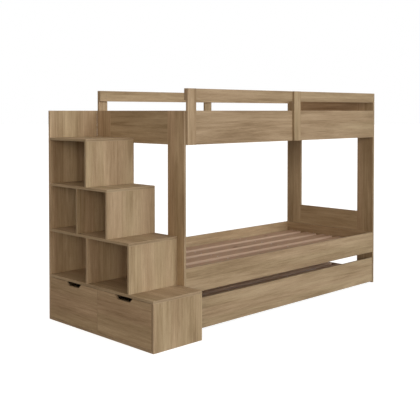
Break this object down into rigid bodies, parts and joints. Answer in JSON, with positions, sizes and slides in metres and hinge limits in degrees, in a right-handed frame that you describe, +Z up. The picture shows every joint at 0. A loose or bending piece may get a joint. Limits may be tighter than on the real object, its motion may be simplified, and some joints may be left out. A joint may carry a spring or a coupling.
{
  "type": "triple bunk bed",
  "caption": "Wood-grain bunk bed with upper and lower berths, a roll-out trundle bed underneath, and a storage staircase with open shelves and drawers at one end.",
  "frame": {"origin": "floor level, at the middle of the footprint", "axes": "+X along the bed away from the stairs, +Y from the open front to the wall, +Z up"},
  "size_m": [2.302, 0.989, 1.418],
  "materials": {
    "oak_laminate": "matte wood-grain laminate",
    "pine": "planed, unfinished",
    "hardboard": "smooth hardboard",
    "zinc_steel": "zinc plated",
    "nylon": "matte black"
  },
  "bodies": {
    "frame": {"drawer_partition": "oak_laminate", "drawer_tracks": "zinc_steel", "far_end_cross_rail": "oak_laminate", "far_end_front_stile": "oak_laminate", "far_end_rear_stile": "oak_laminate", "far_end_top_rail": "oak_laminate", "guard_front_posts": "oak_laminate", "guard_front_rail": "oak_laminate", "guard_rear_posts": "oak_laminate", "guard_rear_rail": "oak_laminate", "lower_bearers": "oak_laminate", "lower_end_boards": "oak_laminate", "lower_front_rail": "oak_laminate", "lower_rear_rail": "oak_laminate", "lower_slats": "pine", "stair_base": "oak_laminate", "stair_divider_2": "oak_laminate", "stair_divider_3": "oak_laminate", "stair_end_cross_rail": "oak_laminate", "stair_end_front_stile": "oak_laminate", "stair_end_rear_stile": "oak_laminate", "stair_end_top_rail": "oak_laminate", "stair_rear_panel": "oak_laminate", "stair_riser_1": "oak_laminate", "stair_riser_2": "oak_laminate", "stair_riser_3": "oak_laminate", "stair_riser_4": "oak_laminate", "stair_side_panel_1": "oak_laminate", "stair_side_panel_2": "oak_laminate", "stair_side_panel_3": "oak_laminate", "stair_side_panel_4": "oak_laminate", "stair_tread_1": "oak_laminate", "stair_tread_2": "oak_laminate", "stair_tread_3": "oak_laminate", "stair_tread_4": "oak_laminate", "upper_bearers": "oak_laminate", "upper_front_board": "oak_laminate", "upper_rear_board": "oak_laminate", "upper_slats": "pine"},
    "trundle": {"caster_axles": "zinc_steel", "caster_brackets": "zinc_steel", "trundle_bearers": "pine", "trundle_end_boards": "oak_laminate", "trundle_front": "oak_laminate", "trundle_rear_board": "oak_laminate", "trundle_slats": "pine"},
    "drawer_1": {"drawer_1_back": "oak_laminate", "drawer_1_bottom": "hardboard", "drawer_1_front": "oak_laminate", "drawer_1_runners": "nylon", "drawer_1_sides": "oak_laminate"},
    "drawer_2": {"drawer_2_back": "oak_laminate", "drawer_2_bottom": "hardboard", "drawer_2_front": "oak_laminate", "drawer_2_runners": "nylon", "drawer_2_sides": "oak_laminate"},
    "wheel_1": {"caster_wheel_1": "nylon"},
    "wheel_2": {"caster_wheel_2": "nylon"},
    "wheel_3": {"caster_wheel_3": "nylon"},
    "wheel_4": {"caster_wheel_4": "nylon"}
  },
  "joints": [
    {"name": "trundle_slide", "type": "slide", "parent": "frame", "child": "trundle", "axis": [0, -1, 0], "range_m": [0, 0.78]},
    {"name": "drawer_1_slide", "type": "slide", "parent": "frame", "child": "drawer_1", "axis": [-1, 0, 0], "range_m": [0, 0.27]},
    {"name": "drawer_2_slide", "type": "slide", "parent": "frame", "child": "drawer_2", "axis": [-1, 0, 0], "range_m": [0, 0.27]},
    {"name": "wheel_1_spin", "type": "hinge", "parent": "trundle", "child": "wheel_1", "pos_m": [-0.735, -0.2615, 0.02], "axis": [1, 0, 0], "continuous": true},
    {"name": "wheel_2_spin", "type": "hinge", "parent": "trundle", "child": "wheel_2", "pos_m": [-0.735, 0.3805, 0.02], "axis": [1, 0, 0], "continuous": true},
    {"name": "wheel_3_spin", "type": "hinge", "parent": "trundle", "child": "wheel_3", "pos_m": [1.093, -0.2615, 0.02], "axis": [1, 0, 0], "continuous": true},
    {"name": "wheel_4_spin", "type": "hinge", "parent": "trundle", "child": "wheel_4", "pos_m": [1.093, 0.3805, 0.02], "axis": [1, 0, 0], "continuous": true}
  ],
  "couplings": [
    {"joint": "wheel_1_spin", "follows": "trundle_slide", "rad_per_m": 50},
    {"joint": "wheel_2_spin", "follows": "trundle_slide", "rad_per_m": 50},
    {"joint": "wheel_3_spin", "follows": "trundle_slide", "rad_per_m": 50},
    {"joint": "wheel_4_spin", "follows": "trundle_slide", "rad_per_m": 50}
  ]
}
